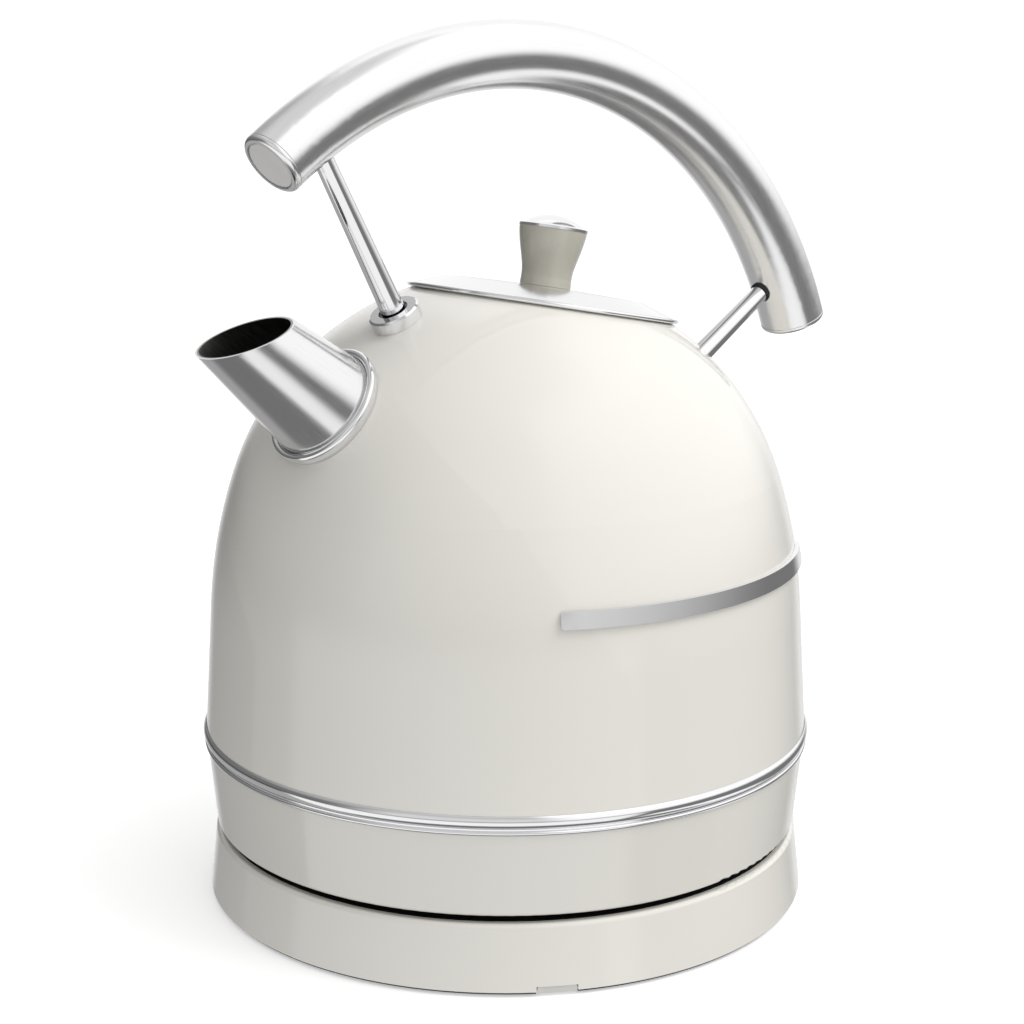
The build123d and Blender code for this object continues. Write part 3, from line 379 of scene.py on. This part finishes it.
def make_metal(name, dark, light, roughness):
    """Plain worked metal with a mottled finish."""

    def build(n):
        place = n.place()
        patchy = n.noise(place, 300, 3)
        return {
            "Base_Color": n.mix(patchy, (*dark, 1), (*light, 1)),
            "Roughness": n.span(patchy, 0.3, 0.7, *roughness, smooth=False),
            "Normal": bump(n, n.noise(place, 1800, 1), 0.08, 0.00003),
        }

    return shader(name, build, Metallic=1.0)


def make_lens():
    """Clear tinted lamp lens."""

    def build(n):
        return {"Roughness": n.span(n.noise(n.place(), 900), 0.3, 0.7, 0.05, 0.12, smooth=False)}

    red = (0.75, 0.10, 0.05, 1)
    return shader("lamp_lens", build, Base_Color=red, Transmission_Weight=0.5, Coat_Weight=1.0)


def dress_nodes():
    """Gives each CAD node the finish of its material slot."""
    finishes = {
        "cream_enamel": make_enamel(),
        "polished_steel": make_polished(),
        "satin_steel": make_handle_steel(),
        "spout_steel": make_spout_steel(),
        "greige_plastic": make_knob_plastic(),
        "lamp_lens": make_lens(),
    }
    for name, dark, light, roughness, grain in (
        ("pale_plastic", (0.66, 0.65, 0.62), (0.72, 0.71, 0.68), (0.45, 0.60), 1500),
        ("pearl_plastic", (0.84, 0.83, 0.81), (0.88, 0.87, 0.85), (0.28, 0.36), 400),
        ("dark_plastic", (0.018, 0.018, 0.02), (0.03, 0.03, 0.032), (0.40, 0.55), 1800),
        ("black_rubber", (0.012, 0.012, 0.012), (0.022, 0.022, 0.022), (0.60, 0.80), 900),
        ("white_silicone", (0.62, 0.62, 0.60), (0.70, 0.70, 0.68), (0.35, 0.50), 700),
    ):
        finishes[name] = make_moulded(name, dark, light, roughness, grain)
    for name, dark, light, roughness in (
        ("zinc_steel", (0.50, 0.51, 0.52), (0.62, 0.63, 0.64), (0.25, 0.42)),
        ("brass", (0.66, 0.47, 0.20), (0.78, 0.60, 0.30), (0.18, 0.34)),
        ("aluminium", (0.66, 0.67, 0.68), (0.76, 0.77, 0.78), (0.30, 0.45)),
    ):
        finishes[name] = make_metal(name, dark, light, roughness)
    for part in frame["record"]["subparts"]:
        node = frame["nodes"][part["node"]]
        for place in range(len(node.material_slots)):
            node.material_slots[place].material = finishes[part["material_slot"]]
    return finishes


# ------------------------------------------------------------------ woven filter


def make_filter_weave(finish):
    """Plain weave of round wire that fills the filter's frame, crossing over and under at each pitch."""
    low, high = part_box("filter_mesh")
    axis = Vector((math.sin(SPOUT_LEAN), 0, math.cos(SPOUT_LEAN)))
    centre = (low + high) / 2
    centre = DOME_CENTRE + axis * (centre - DOME_CENTRE).dot(axis)
    across = Vector((0, 1, 0))
    upward = axis.cross(across)
    radius = (high.y - low.y) / 2
    sides = 6
    shape = bmesh.new()
    count = int(radius / WIRE_PITCH)
    for first, second, phase in ((across, upward, 0), (upward, across, 1)):
        for line in range(-count, count + 1):
            offset = line * WIRE_PITCH
            half = math.sqrt(max(radius**2 - offset**2, 0))
            steps = max(2, int(2 * half / WIRE_PITCH * 4))
            rings = []
            for step in range(steps + 1):
                along = -half + 2 * half * step / steps
                wave = math.cos(math.pi * along / WIRE_PITCH + math.pi * (line + phase))
                middle = centre + second * offset + first * along + axis * (WIRE_RADIUS * 1.05 * wave)
                ring = []
                for corner in range(sides):
                    angle = 2 * math.pi * corner / sides
                    spoke = second * (WIRE_RADIUS * math.cos(angle)) + axis * (WIRE_RADIUS * math.sin(angle))
                    ring.append(shape.verts.new(middle + spoke))
                rings.append(ring)
            for one, two in zip(rings, rings[1:]):
                for corner in range(sides):
                    after = (corner + 1) % sides
                    shape.faces.new((one[corner], one[after], two[after], two[corner]))
            shape.faces.new(reversed(rings[0]))
            shape.faces.new(rings[-1])
    bmesh.ops.recalc_face_normals(shape, faces=shape.faces)
    mesh = bpy.data.meshes.new("filter_weave")
    shape.to_mesh(mesh)
    shape.free()
    for face in mesh.polygons:
        face.use_smooth = True
    weave = link_mesh("filter_weave", mesh)
    weave.data.materials.append(finish)
    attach(weave, "spout_filter")
    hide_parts("filter_mesh")


bpy.context.scene.view_settings.view_transform = "Standard"
make_camera()
make_floor()
make_world()
make_lights()
finishes = dress_nodes()
make_filter_weave(finishes["zinc_steel"])
